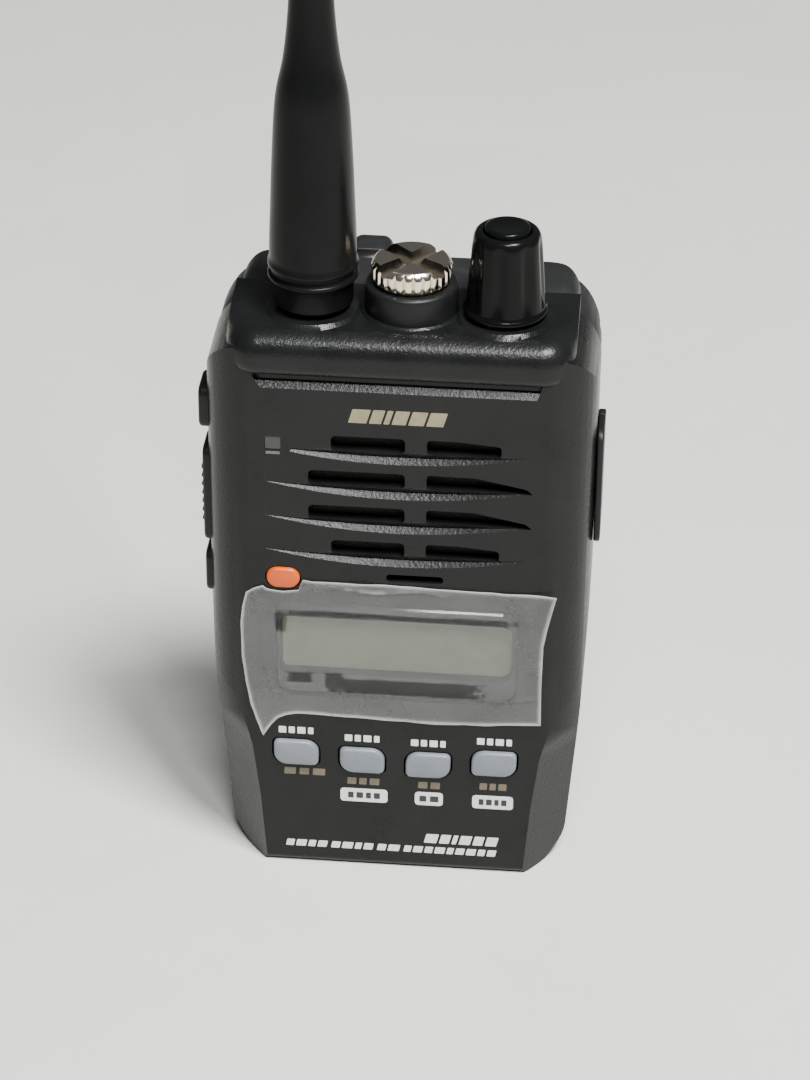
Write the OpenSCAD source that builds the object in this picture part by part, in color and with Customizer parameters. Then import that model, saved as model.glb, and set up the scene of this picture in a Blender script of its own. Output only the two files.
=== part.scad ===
// Compact handheld two-way radio, standing on its base.
// X is to the right, the front face looks towards -Y, +Z is up.
// The origin is the centre of the base, on the surface it stands on.

/* [Body] */
// Width of the body at the speaker
body_w = 58; // [56:0.5:60]
// Height of the body without antenna and dial
body_h = 95; // [95:0.5:97]
// Front face's distance ahead of the origin
front = 15; // [15:0.1:15.5]
// Wall of the plastic front case
wall = 2; // [1.8:0.1:2.2]
// Radius of the two shoulders beside the top block
shoulder_r = 8; // [7:0.5:9]
// Width of the raised top block
top_w = 51.2; // [50:0.2:52]
// Rounding of the upright front edges
edge_r = 6; // [5:0.5:6.5]

/* [Antenna] */
// Antenna place, left of the middle
antenna_x = -13.3; // [-13.6:0.1:-13]
// Total height of the antenna above the body
antenna_len = 165; // [120:1:200]
// Thread pitch of the antenna connector
antenna_pitch = 0.7056; // [0.5:0.0001:1]

/* [Dial] */
// Dial place, right of the middle
dial_x = 14.9; // [14.5:0.1:15.2]
// Dial height
dial_h = 13; // [10:0.5:16]
// Dial diameter at its foot
dial_d = 12.4; // [11:0.2:13]

/* [Jack] */
// Accessory jack place
jack_x = 1; // [0.8:0.1:1.2]
// Outer diameter of the screw cap
cap_d = 11.9; // [11:0.1:13]

/* [Front] */
// Spacing of the speaker slot rows
slot_pitch = 6; // [5.8:0.1:6.1]
// Spacing of the four keys
key_pitch = 10.25; // [10:0.05:10.4]
// Key travel
key_travel = 0.6; // [0.3:0.1:0.7]

/* [Battery] */
// Depth of the battery pack
pack_d = 10.3; // [9:0.1:12]
// Height of the battery pack
pack_h = 82.2; // [82:0.1:82.4]

/* [Hidden] */
$fn = 48;

seam = 2;                    // plane where the front case meets the chassis
chassis_back = 7;            // back face of the chassis behind the battery
top_back = 12.5;             // back face of the chassis's top block
block_z = 83.6;              // underside of that block
half_w = body_w / 2;
shoulder_z = body_h - 1.8;   // top of the body beside the raised block
face = -front;               // front face
nose = face - 1;             // front of the roll across the top
inner_face = face + wall;    // inside of the front wall
stem_y = -6;                 // antenna and dial axes
jack_y = -4.5;               // jack axis
boss = [[-23.5, 88.2], [23.5, 88.2], [-22.6, 4.6], [22.6, 4.6]];   // case screw places
key_z = [21.4, 20.5, 20.3, 21.2];
key_w = 7.1;
key_h = 4.7;
power_at = [-17.2, 53.5];
side_y = -5.5;               // middle of the side keys
side_keys = [[78.5, 7], [63.5, 16.5], [49.8, 7.4]];   // middle and length of each
slot_x = 2.7;                // middle of the slot group
slot_top = 77.3;             // middle of the top slot row
cover_z = 67.8;
cover_h = 19.4;
cover_pivot_x = half_w + 1.1;
cover_pivot_y = -1;
hook_z = 82.4;
hook_y = 6.9;
pack_front = 7.3;
pack_back = pack_front + pack_d;
collar_h = 4.4;
cap_z = body_h + collar_h + 0.5;
speaker_at = [2.7, 66];
clip_z = [52, 66];
eye_x = -6.5;                // strap eye: a fin with a hole across it
eye_y = 14.3;
eye_z = 92.9;
eye_w = 4.2;

dark = "#2b2b2d";
rubber = "#1d1d1f";

// Points of an arc in the drawing plane
function arc(c, r, a0, a1, n = 8) =
    [for (i = [0:n]) c + r * [cos(a0 + (a1 - a0) * i / n), sin(a0 + (a1 - a0) * i / n)]];

function mirrored(pts) = [for (i = [len(pts) - 1:-1:0]) [-pts[i][0], pts[i][1]]];

// Right half of the body's front outline, from the base up, drawn in X and Z
function half_outline(t) = concat(
    arc([21.4, 5.2], 5.2 - t, -90, -8, 6),
    [[half_w - 0.9 - t, 26], [half_w - t, 48]],
    arc([half_w - shoulder_r, shoulder_z - shoulder_r], shoulder_r - t, 0, 90, 10));

module body_outline(t = 0) {
    polygon(concat(half_outline(t), mirrored(half_outline(t))));
}

// Solid with the front outline, from y0 back to y1
module slab(y0, y1, t = 0) {
    translate([0, y1, 0]) rotate([90, 0, 0]) linear_extrude(y1 - y0) body_outline(t);
}

// Plan outline of the front case, with its two rounded upright edges
module plan_outline(t = 0) {
    corner = arc([half_w - edge_r, face + edge_r], edge_r - t, -90, 0, 8);
    polygon(concat(corner, [[half_w - t, seam + 1], [-half_w + t, seam + 1]], mirrored(corner)));
}

// The sloping facets that narrow the lower front towards the base
module flank_cuts(t = 0) {
    for (s = [-1, 1]) mirror([s < 0 ? 1 : 0, 0, 0])
        translate([20.4 - t, face, 0]) rotate([0, 10.2, 0]) translate([0, 0, -8])
            linear_extrude(52) polygon([[0, -3], [0, 0], [12, 14], [20, 14], [20, -3]]);
}

module stadium(w, h) {
    square([w - h, h], center = true);
    for (s = [-1, 1]) translate([s * (w - h) / 2, 0]) circle(d = h);
}

module round_rect(w, h, r) {
    square([w - 2 * r, h], center = true);
    square([w, h - 2 * r], center = true);
    for (x = [-1, 1], y = [-1, 1]) translate([x * (w / 2 - r), y * (h / 2 - r)]) circle(r);
}

// Extrudes a drawing in X and Z along Y, from y0 to y1
module along_y(y0, y1) {
    translate([0, y1, 0]) rotate([90, 0, 0]) linear_extrude(y1 - y0) children();
}

// Extrudes a drawing in Y and Z along X, from x0 to x1
module along_x(x0, x1) {
    translate([x0, 0, 0]) rotate([90, 0, 90]) linear_extrude(x1 - x0) children();
}

module y_cylinder(x, z, y0, y1, r, r2 = undef) {
    translate([x, y1, z]) rotate([90, 0, 0])
        cylinder(h = y1 - y0, r1 = is_undef(r2) ? r : r2, r2 = r);
}

module tube(r_out, r_in, z0, z1) {
    translate([0, 0, z0]) difference() {
        cylinder(h = z1 - z0, r = r_out);
        translate([0, 0, -1]) cylinder(h = z1 - z0 + 2, r = r_in);
    }
}

// Speaker slot rows: width and sideways shift of the left and right slot
slot_rows = [[11, -7.1, 11, 7.1], [14.4, -8.8, 15.8, 9.5], [14.4, -8.8, 15.8, 9.5], [11, -7.1, 11, 7.1]];

module speaker_slots() {
    for (i = [0:3]) for (k = [0, 2])
        translate([slot_x + slot_rows[i][k + 1], slot_top - slot_pitch * i])
            round_rect(slot_rows[i][k], 2.5, 0.6);
    translate([slot_x, 54.2]) stadium(8.6, 1.3);
}

// Thin crescent ledge under a slot row
module crescent(z) {
    translate([0, z]) difference() {
        translate([0, 90]) circle(r = 92.4, $fn = 180);
        translate([0, 142]) circle(r = 143.2, $fn = 240);
        for (s = [-1, 1]) translate([s * 70, 0]) square([100, 40], center = true);
        translate([0, 110]) square([200, 200], center = true);
    }
}

// Raised block across the top, from y0 back to y1, with rounded edges
module top_block(y0, y1, t = 0) {
    intersection() {
        along_y(y0, y1) translate([0, body_h - 4]) round_rect(top_w - 2 * t, 8 - 2 * t, 3);
        translate([0, (nose + top_back) / 2, body_h - 9]) linear_extrude(10)
            round_rect(top_w - 2 * t, top_back - nose - 2 * t, 5);
    }
}

// Side view of the nose: a thick roll that stands ahead of the front face
module nose_profile() {
    polygon(concat([[seam, body_h - 7]], arc([nose + 2.4, body_h - 4.6], 2.4, -90, -180, 6),
        arc([nose + 3.9, body_h - 3.9], 3.9, 180, 90, 8), [[seam, body_h]]));
}

module case_outer() {
    difference() {
        intersection() {
            slab(face, seam);
            linear_extrude(body_h) plan_outline();
        }
        flank_cuts();
        along_x(-21, 21) polygon([[face - 1, 86.1], [face, 86.1], [face + 1.05, 87.2], [face + 1.05, 89.6],
            [face - 1, 89.6]]);
    }
    intersection() {
        top_block(nose, seam);
        along_x(-half_w, half_w) nose_profile();
    }
}

module case_inner() {
    difference() {
        intersection() {
            slab(inner_face, seam + 1, wall);
            translate([0, 0, wall]) linear_extrude(body_h - 2 * wall) plan_outline(wall);
        }
        flank_cuts(2.4);
    }
    translate([-22, inner_face + 0.5, 90]) cube([44, seam + 1 - inner_face - 0.5, body_h - wall - 90]);
}

module front_case() {
    color(dark) difference() {
        union() {
            difference() {
                case_outer();
                case_inner();
            }
            for (b = boss) y_cylinder(b[0], b[1], b[1] > 50 ? inner_face - 0.5 : -8.5, seam, 2.2);
            translate([antenna_x, stem_y, body_h - 0.5]) cylinder(h = 1, r = 6.7);
            translate([dial_x, stem_y, body_h - 0.5]) cylinder(h = 1, r = 6.9);
        }
        for (b = boss) y_cylinder(b[0], b[1], -7, seam + 1, 0.85);
        along_y(face - 1, inner_face + 1) speaker_slots();
        for (i = [0:3]) along_y(face - 1, face + 0.6) crescent(75.9 - slot_pitch * i);
        translate([0, 0, 40.6]) along_y(face - 1, inner_face + 1) round_rect(34, 14, 2);
        translate([0, 0, 40.6]) along_y(face - 1, face + 1) round_rect(37.2, 17.2, 2.6);
        for (i = [0:3]) translate([key_pitch * (i - 1.5), 0, key_z[i]])
            along_y(face - 1, inner_face + 1) round_rect(key_w + 0.3, key_h + 0.3, 1.6);
        translate([power_at[0], 0, power_at[1]]) along_y(face - 1, inner_face + 1) stadium(5.4, 3.8);
        translate([-18.5, 0, 76.8]) along_y(face - 1, inner_face + 1) square([2.4, 2.2], center = true);
        for (k = side_keys) translate([0, side_y, k[0]]) along_x(-half_w - 1, -half_w + wall + 1)
            round_rect(7.3, k[1] + 0.3, 1.6);
        translate([half_w + 1, side_y + 0.5, cover_z + 1]) rotate([0, -90, 0]) cylinder(h = 5, r = 3.2);
        translate([0, 0.3, cover_z]) along_x(half_w - 1, half_w + 1) square([1, 14], center = true);
        translate([antenna_x, stem_y, body_h - 4]) cylinder(h = 6, r = 3.25);
        translate([jack_x, jack_y, body_h - 4]) cylinder(h = 6, r = 4.85);
        translate([dial_x, stem_y, body_h - 4]) cylinder(h = 6, r = 3.6);
        for (s = [-1, 1]) translate([s * 21.4, 0, 50]) along_y(face - 1, face + 0.4)
            square([0.5, 70], center = true);
    }
}

module rear_chassis() {
    color("#303032") difference() {
        union() {
            slab(seam + 0.02, chassis_back, 0.15);
            top_block(seam + 0.02, top_back, 0.15);
            intersection() {
                slab(chassis_back - 1, top_back - 0.15, 0.15);
                translate([0, 4.5, block_z]) linear_extrude(20)
                    round_rect(2 * half_w - 1, 2 * (top_back - 4.5), 5);
            }
            // strap eye behind the antenna
            translate([eye_x - eye_w / 2, eye_y, eye_z]) rotate([0, 90, 0]) cylinder(h = eye_w, r = 3.4);
            translate([eye_x, eye_y - 1.7, eye_z]) cube([eye_w, 3.4, 6.8], center = true);
        }
        intersection() {
            slab(seam - 1, chassis_back - 1.5, wall);
            translate([0, 0, 47.5]) cube([60, 60, 91], center = true);
        }
        translate([-22, 0, 86]) cube([44, top_back - 2.2, 6.8]);
        translate([eye_x - 10, eye_y, eye_z]) rotate([0, 90, 0]) cylinder(h = 20, r = 1.6);
        for (b = boss) {
            y_cylinder(b[0], b[1], 0, 20, 1.1);
            y_cylinder(b[0], b[1], (b[1] > 50 ? top_back : chassis_back) - 1.6, 20, 2.1);
        }
        for (z = clip_z) y_cylinder(0, z, 0, 20, 2.4);
        for (s = [-1, 1]) translate([s * 15, 6.4, 81.65]) cube([5.4, 1.7, 2.1], center = true);
        translate([0, 6, 4.6]) cube([8, 4, 7.2], center = true);
        for (i = [-1:1]) y_cylinder(16 + 4 * i, 14, 0, 20, 1.25);
    }
    color("#303032") for (b = boss) difference() {
        y_cylinder(b[0], b[1], seam + 0.02, chassis_back - 1, 2.3);
        y_cylinder(b[0], b[1], 0, 20, 1.1);
        y_cylinder(b[0], b[1], (b[1] > 50 ? top_back : chassis_back) - 1.6, 20, 2.1);
    }
}

module case_seal() {
    color("#8a4a3a") along_y(seam - 0.9, seam - 0.05) difference() {
        polygon(concat(half_outline(wall + 0.05), mirrored(half_outline(wall + 0.05))));
        polygon(concat(half_outline(wall + 0.9), mirrored(half_outline(wall + 0.9))));
        for (b = boss) translate(b) circle(r = 2.3);
    }
}

module case_screws() {
    color("silver") for (b = boss) {
        y1 = (b[1] > 50 ? top_back : chassis_back) - 0.1;
        difference() {
            y_cylinder(b[0], b[1], y1 - 1.4, y1, 1.9);
            translate([b[0], y1, b[1]]) cube([3, 1, 0.5], center = true);
            translate([b[0], y1, b[1]]) cube([0.5, 1, 3], center = true);
        }
        y_cylinder(b[0], b[1], -5, y1 - 1.3, 0.84);
    }
}

module clip_inserts() {
    color("gold") for (z = clip_z) difference() {
        y_cylinder(0, z, 4.2, chassis_back - 0.05, 2.38);
        y_cylinder(0, z, 3, 20, 1.25);
    }
}

module main_board() {
    color("#1f5a3c") difference() {
        translate([0, -5.2, 45.5]) cube([46, 1.2, 72.5], center = true);
        translate([23, -5.2, cover_z + 1]) cube([15, 3, 8.6], center = true);
        translate([speaker_at[0], -5, speaker_at[1]]) rotate([90, 0, 0]) cylinder(h = 4, r = 9, center = true);
        for (s = [-1, 1]) translate([s * 22.5, -5, 8]) cube([6, 4, 6], center = true);
    }
}

module rf_shield() {
    color("silver") difference() {
        translate([0, -2.9, 32]) cube([38, 3.3, 34], center = true);
        translate([0, -3.3, 32]) cube([37.4, 3.3, 33.4], center = true);
    }
}

module speaker_frame() {
    color("dimgray") translate([speaker_at[0], 0, speaker_at[1]]) difference() {
        y_cylinder(0, 0, -12.2, -8.6, 12.6);
        y_cylinder(0, 0, -13, -9.2, 11.8);
        y_cylinder(0, 0, -10, -8, 6.1);
    }
}

module speaker_cone() {
    color("#3a3a38") translate([speaker_at[0], -12.1, speaker_at[1]]) rotate([-90, 0, 0]) rotate_extrude()
        polygon([[0, 0.2], [2.6, 1.2], [4.4, 1.6], [10.2, 0.6], [11.7, 0], [11.7, 0.3], [10.2, 0.95],
            [5.4, 1.95], [5.4, 2.6], [4.9, 2.6], [4.6, 1.95], [2.6, 1.5], [0, 0.5]]);
}

module speaker_magnet() {
    color("gray") translate([speaker_at[0], 0, speaker_at[1]]) difference() {
        y_cylinder(0, 0, -9.2, -6.6, 6);
        y_cylinder(0, 0, -9.5, -7.6, 5.6);
    }
}

module speaker_mesh() {
    color("#151515") translate([slot_x + 0.9, 0, 66.2]) along_y(inner_face + 0.05, inner_face + 0.35)
        round_rect(34.4, 27.4, 3);
}

module window_lens() {
    color("#9aa08c", 0.6) translate([0, 0, 40.6]) {
        along_y(face + 0.1, face + 0.95) round_rect(37, 17, 2.5);
        along_y(face + 0.9, inner_face) round_rect(33.8, 13.8, 1.9);
    }
}

module lcd_panel() {
    color("#9a9c86") translate([0, 0, 41.2]) along_y(inner_face + 0.1, inner_face + 1.9) square([37, 15], center = true);
}

module lcd_holder() {
    color("ivory") translate([0, 0, 41.2]) difference() {
        along_y(inner_face + 0.1, -5.85) square([39.4, 17.4], center = true);
        along_y(inner_face - 1, inner_face + 1.95) square([37.1, 15.1], center = true);
        along_y(inner_face + 3.4, -5) square([34, 12], center = true);
    }
}

// Clear protective film stuck over the window, with its loose cut edge
module screen_film() {
    color("white", 0.4) along_y(face - 0.42, face - 0.12)
        polygon([[-23.6, 28.8], [-20.5, 25.2], [-18.2, 28], [-15, 29], [-2.6, 28.5], [9, 28.2], [22.4, 29],
            [22.4, 43.4], [24, 52.7], [9, 53], [-12.8, 53.1], [-14, 51.3], [-20.3, 51.3], [-23.2, 50.4], [-23.8, 40]]);
}

module indicator_lens() {
    color("#777068") translate([-18.5, 0, 76.8]) along_y(face + 0.15, inner_face + 0.6) square([2.3, 2.1], center = true);
}

module dome_switches() {
    color("silver") {
        for (i = [0:3]) y_cylinder(key_pitch * (i - 1.5), key_z[i], -6.55, -5.85, 2);
        y_cylinder(power_at[0], power_at[1], -6.55, -5.85, 1.9);
    }
}

module side_switches() {
    color("silver") for (k = side_keys) {
        translate([-22.6, side_y - 2.1, k[0]]) cube([3.4, 3, 5], center = true);
        translate([-24.5, side_y - 2.1, k[0]]) cube([0.6, 1.6, 2], center = true);
    }
}

module microphone() {
    color("silver") difference() {
        y_cylinder(-15.2, 62, inner_face + 0.4, inner_face + 2.6, 2);
        y_cylinder(-15.2, 62, inner_face - 1, inner_face + 0.9, 0.6);
    }
}

module antenna_jack() {
    color("goldenrod") translate([antenna_x, stem_y, 0]) {
        tube(3.15, 0.65, body_h - 5, body_h + 5);
        tube(5, 2, body_h - 3.7, body_h - wall - 0.1);
        tube(2, 0.65, body_h - 9, body_h - 4.5);
    }
}

module jack_collar() {
    color(rubber) translate([jack_x, jack_y, 0]) {
        tube(6.9, 4.75, body_h + 0.02, body_h + collar_h);
        tube(4.8, 4.2, body_h - 2.6, body_h + 0.3);
    }
}

module mic_jack() {
    color("#222222") translate([jack_x, jack_y, 0]) {
        tube(4.1, 1.8, body_h - 12, body_h + 0.4);
        translate([0, 0, body_h - 12.8]) cylinder(h = 1, r = 4.1);
    }
}

module dial_encoder() {
    color("darkgray") translate([dial_x, stem_y, 0]) {
        difference() {
            translate([0, 0, body_h - 6.1]) cube([11, 10, 5.6], center = true);
            translate([0, 0, body_h - 10]) cylinder(h = 9, r = 2.55);
        }
        tube(3.5, 2.55, body_h - 3.4, body_h + 2.6);
    }
}

module dial_nut() {
    color("silver") translate([dial_x, stem_y, body_h + 0.55]) difference() {
        cylinder(h = 1.3, r = 5, $fn = 6);
        translate([0, 0, -1]) cylinder(h = 4, r = 3.52);
    }
}

module dc_jack() {
    color("#202020") difference() {
        translate([21.4, side_y + 0.5, cover_z + 1]) cube([10.6, 6.6, 7.6], center = true);
        translate([30, side_y + 0.5, cover_z + 1]) rotate([0, -90, 0]) cylinder(h = 12, r = 1.8);
    }
}

// Fixed root of the rubber jack cover, pressed into a slot in the side wall
module cover_anchor() {
    color(rubber) translate([0, 0, cover_z]) {
        translate([0, 0.4, 0]) along_x(half_w + 0.02, half_w + 1.1) round_rect(2.4, 17, 0.8);
        translate([0, 0.3, 0]) along_x(half_w - 1, half_w + 0.1) square([0.96, 13.9], center = true);
    }
}

module chassis_contacts() {
    color("gold") for (i = [-1:1]) {
        y_cylinder(16 + 4 * i, 14, 3.4, chassis_back - 0.1, 1.2);
        y_cylinder(16 + 4 * i, 14, chassis_back - 0.2, chassis_back + 0.15, 0.7);
    }
}

// Spring strip that the battery latch hooks behind
module battery_catch() {
    color("silver") {
        translate([0, 4.95, 9.5]) cube([7, 0.9, 4], center = true);
        translate([0, 5.6, 7.8]) cube([7, 2, 0.5], center = true);
        translate([0, 6.35, 5.9]) cube([7, 0.5, 4.3], center = true);
    }
}

module ring(r, wire, z) {
    translate([0, 0, z]) rotate_extrude() translate([r, 0]) circle(r = wire, $fn = 24);
}

module antenna_seal() {
    color("black") translate([antenna_x, stem_y, 0]) ring(4.2, 0.45, body_h + 1.0);
}

module antenna_nut() {
    color(rubber) translate([antenna_x, stem_y, 0]) {
        tube(5.9, 3.25, body_h + 1.5, body_h + 5.6);
        tube(6.65, 3.25, body_h + 5.6, body_h + 6.2);
        translate([0, 0, body_h + 6.2]) cylinder(h = 1, r = 6.2);
        tube(3.4, 0.45, body_h + 5.2, body_h + 6.3);
        translate([0, 0, body_h + 1.2]) cylinder(h = 5.5, r = 0.45);
    }
}

module antenna_core() {
    color("goldenrod") translate([antenna_x, stem_y, body_h + 7.2]) {
        cylinder(h = 14, r = 2);
        cylinder(h = antenna_len - 12, r = 0.9);
    }
}

// Rubber sleeve: bell at the foot, then a slow taper into a thin whip
module antenna_sheath() {
    top = antenna_len;
    color(rubber) translate([antenna_x, stem_y, body_h]) difference() {
        rotate_extrude() polygon(concat(
            [[0, 7.25], [6.1, 7.25], [6.65, 7.5], [6.65, 8.1], [6.4, 8.6], [6.4, 11], [6.2, 16], [5.8, 25.7],
            [5.2, 33.8], [4.15, 39.3], [3.5, 44.6], [3.15, 50], [3, 58], [2.75, top - 2.75]],
            arc([0, top - 2.75], 2.75, 0, 90, 6)));
        translate([0, 0, 7]) cylinder(h = 14.3, r = 2.02);
        translate([0, 0, 7]) cylinder(h = antenna_len - 11.7, r = 0.92);
    }
}

module cap_seal() {
    color("black") translate([jack_x, jack_y, 0]) ring(5.2, 0.22, body_h + collar_h + 0.25);
}

// Screw cap with a knurled rim and a cross slot for a coin
module jack_cap() {
    ribs = 26;
    color("#b9b3a4") translate([jack_x, jack_y, cap_z]) difference() {
        union() {
            cylinder(h = 2.5, r = cap_d / 2);
            translate([0, 0, 2.5]) cylinder(h = 0.7, r1 = cap_d / 2, r2 = cap_d / 2 - 0.7);
            translate([0, 0, -3]) cylinder(h = 3.1, r = 4.68);
        }
        for (i = [0:ribs - 1]) rotate(i * 360 / ribs) translate([cap_d / 2 + 0.25, 0, 0.4])
            cylinder(h = 2, r = 0.6);
        for (a = [0, 90]) rotate(a + 50) translate([0, 0, 3]) cube([8.4, 2, 1.8], center = true);
        translate([0, 0, 2.1]) cylinder(h = 2, r = 1.6);
    }
}

module dial_knob() {
    top_d = 10.4;
    color(rubber) translate([dial_x, stem_y, body_h + 1.2]) difference() {
        union() {
            cylinder(h = dial_h - 0.9, r1 = dial_d / 2, r2 = top_d / 2);
            translate([0, 0, dial_h - 0.9]) cylinder(h = 0.9, r1 = top_d / 2, r2 = top_d / 2 - 0.8);
        }
        for (i = [0:7]) rotate(i * 45 + 10) translate([dial_d / 2 + 6.6, 0, 2.2]) rotate([0, -4.5, 0])
            cylinder(h = dial_h, r = 7.4);
        translate([0, 0, -1]) cylinder(h = 2.6, r = 5.5);
        translate([0, 0, 1]) cylinder(h = dial_h - 3, r = 2.52);
        translate([0, 0, dial_h - 0.7]) tube(4.1, 3.4, 0, 2);
        translate([0, 0, dial_h - 0.7]) cylinder(h = 2, r = 3.42);
    }
}

module dial_shaft() {
    color("silver") translate([dial_x, stem_y, body_h - 9]) cylinder(h = dial_h + 8, r = 2.5);
}

module dial_cap() {
    color("#262628") translate([dial_x, stem_y, body_h + dial_h + 0.5]) {
        cylinder(h = 1.0, r = 3.4);
        translate([0, 0, 1.0]) cylinder(h = 0.3, r1 = 3.4, r2 = 3.1);
    }
}

module front_key(x, z) {
    translate([x, 0, z]) {
        along_y(face - 0.9, inner_face + 0.2) round_rect(key_w, key_h, 1.5);
        along_y(inner_face + 0.1, inner_face + 0.7) round_rect(key_w + 1.2, key_h + 1.2, 1.8);
    }
    y_cylinder(x, z, inner_face + 0.6, -6.6 - key_travel, 1.3);
}

module key_1() { color("#98a0aa") front_key(-1.5 * key_pitch, key_z[0]); }
module key_2() { color("#98a0aa") front_key(-0.5 * key_pitch, key_z[1]); }
module key_3() { color("#98a0aa") front_key(0.5 * key_pitch, key_z[2]); }
module key_4() { color("#98a0aa") front_key(1.5 * key_pitch, key_z[3]); }

module power_key() {
    color("orange") {
        translate([power_at[0], 0, power_at[1]]) {
            along_y(face - 0.7, inner_face + 0.2) stadium(5.1, 3.5);
            along_y(inner_face + 0.1, inner_face + 0.7) stadium(6.4, 4.8);
        }
        y_cylinder(power_at[0], power_at[1], inner_face + 0.6, -6.6 - key_travel, 1);
    }
}

module side_key(at, proud) {
    translate([0, side_y, at[0]]) {
        along_x(-half_w - proud, -half_w + wall + 0.3) round_rect(7, at[1], 1.5);
        along_x(-half_w + wall + 0.2, -half_w + wall + 0.8) round_rect(8, at[1] + 0.9, 1.8);
    }
    translate([-26.05, side_y - 2.1, at[0]]) cube([0.9, 1.6, 2.4], center = true);
}

module upper_side_key() { color(rubber) side_key(side_keys[0], 1.4); }
module ptt_key() { color(rubber) side_key(side_keys[1], 1); }
module lower_side_key() { color(rubber) side_key(side_keys[2], 0.9); }

module dc_cover() {
    color(rubber) {
        translate([0, side_y + 0.5 - 0.1, cover_z]) along_x(half_w + 0.1, half_w + 1.1)
            round_rect(7.7, cover_h, 2);
        translate([half_w + 0.2, side_y + 0.5, cover_z + 1]) rotate([0, -90, 0]) cylinder(h = 1.4, r = 2.5);
    }
}

module pack_outer() {
    intersection() {
        slab(pack_front, pack_back, 0.3);
        along_x(-40, 40) polygon(concat([[pack_front, 0], [pack_front, pack_h]],
            arc([pack_back - 3.5, pack_h - 6.3], 3.5, 75, 0, 6), arc([pack_back - 2, 2], 2, 0, -90, 4)));
        linear_extrude(90) polygon(concat([[half_w, pack_front]],
            arc([half_w - 4.6, pack_back - 4], 4, 0, 90, 6),
            arc([-half_w + 4.6, pack_back - 4], 4, 90, 180, 6), [[-half_w, pack_front]]));
    }
}

module battery_case() {
    color(dark) {
        difference() {
            pack_outer();
            translate([0, 0, 40]) along_y(pack_front - 1, pack_back - 1.4) difference() {
                square([52, 77.6], center = true);
                translate([0, 36]) rotate(0) square([60, 1], center = true);
            }
            translate([0, pack_back, 8]) cube([8.6, 4, 9], center = true);
            for (i = [0:4]) for (s = [-1, 1]) translate([s * 24, pack_back + 0.1, 30 + 5 * i])
                cube([5, 0.8, 1.6], center = true);
        }
    }
    color(dark) for (s = [-1, 1]) translate([s * 15, hook_y - 0.05, 81.7]) cube([4.6, 1.5, 0.9], center = true);
}

module battery_lid() {
    color("#242426") difference() {
        translate([0, pack_front + 0.65, 38]) cube([51.8, 1.2, 73], center = true);
        translate([0, pack_front, 3.4]) cube([6.8, 6, 7], center = true);
        for (i = [-1:1]) y_cylinder(16 + 4 * i, 14, pack_front - 1, pack_front + 3, 1.55);
        for (z = clip_z) y_cylinder(0, z, pack_front - 1, pack_front + 0.6, 3);
    }
}

module battery_cells() {
    color("#2c5f8a") for (s = [-1, 1]) translate([s * 12.8, 0, 43])
        along_y(pack_front + 1.6, pack_back - 1.7) round_rect(24.6, 54, 1.5);
}

module battery_board() {
    color("#1f5a3c") translate([14, pack_front + 2.2, 13]) cube([20, 1, 5], center = true);
}

module battery_contacts() {
    color("gold") for (i = [-1:1]) y_cylinder(16 + 4 * i, 14, pack_front + 0.2, pack_front + 1.7, 1.5);
}

module battery_latch() {
    color("#3a3a3c") {
        translate([0, pack_back - 2.1, 8.1]) cube([11, 1.2, 10.6], center = true);
        translate([0, pack_back - 0.6, 8.6]) cube([8, 2.4, 6.6], center = true);
        translate([0, pack_back + 0.6, 8.6]) cube([7, 0.6, 0.9], center = true);
        translate([0, pack_back + 0.6, 10.6]) cube([7, 0.6, 0.9], center = true);
        translate([0, 10.3, 3.1]) cube([6, 10.4, 1], center = true);
        translate([0, 5.45, 3.8]) cube([6, 0.7, 2.4], center = true);
    }
}

// Small compression spring that pushes the latch up
module latch_spring() {
    coil_r = 1.1;
    wire = 0.2;
    turns = 6;
    steps = 12;
    z0 = 1.35;
    z1 = 6.4;
    total = turns * steps;
    points = [for (i = [0:total]) for (k = [0:5])
        [(coil_r + wire * cos(60 * k)) * cos(30 * i), (coil_r + wire * cos(60 * k)) * sin(30 * i),
        z0 + wire + (z1 - z0 - 2 * wire) * i / total + wire * sin(60 * k)]];
    sides = [for (i = [0:total - 1]) for (k = [0:5])
        [6 * i + k, 6 * i + (k + 1) % 6, 6 * (i + 1) + (k + 1) % 6, 6 * (i + 1) + k]];
    color("silver") translate([7.4, pack_back - 3, 0])
        polyhedron(points, concat([[5, 4, 3, 2, 1, 0]], [for (f = sides) [f[3], f[2], f[1], f[0]]],
            [[for (k = [0:5]) 6 * total + k]]));
}

front_case();
rear_chassis();
case_seal();
case_screws();
clip_inserts();
main_board();
rf_shield();
speaker_frame();
speaker_cone();
speaker_magnet();
speaker_mesh();
window_lens();
lcd_panel();
lcd_holder();
screen_film();
indicator_lens();
dome_switches();
side_switches();
microphone();
antenna_jack();
jack_collar();
mic_jack();
dial_encoder();
dial_nut();
dc_jack();
cover_anchor();
chassis_contacts();
battery_catch();
antenna_seal();
antenna_nut();
antenna_core();
antenna_sheath();
cap_seal();
jack_cap();
dial_knob();
dial_shaft();
dial_cap();
key_1();
key_2();
key_3();
key_4();
power_key();
ptt_key();
upper_side_key();
lower_side_key();
dc_cover();
battery_case();
battery_lid();
battery_cells();
battery_board();
battery_contacts();
battery_latch();
latch_spring();
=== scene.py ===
# %% [markdown]
# # A compact handheld two-way radio
# The radio is already built as a CAD frame: every casing, key, dial and screw is there at its real
# size. This script gives it its looks. It keeps the CAD pieces that only need a finish, and models
# afresh the ones whose moulded edges, pillows, knurls and crinkles the CAD leaves out.

import math

import bmesh
import bpy
from mathutils import Matrix, Quaternion, Vector, noise


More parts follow.
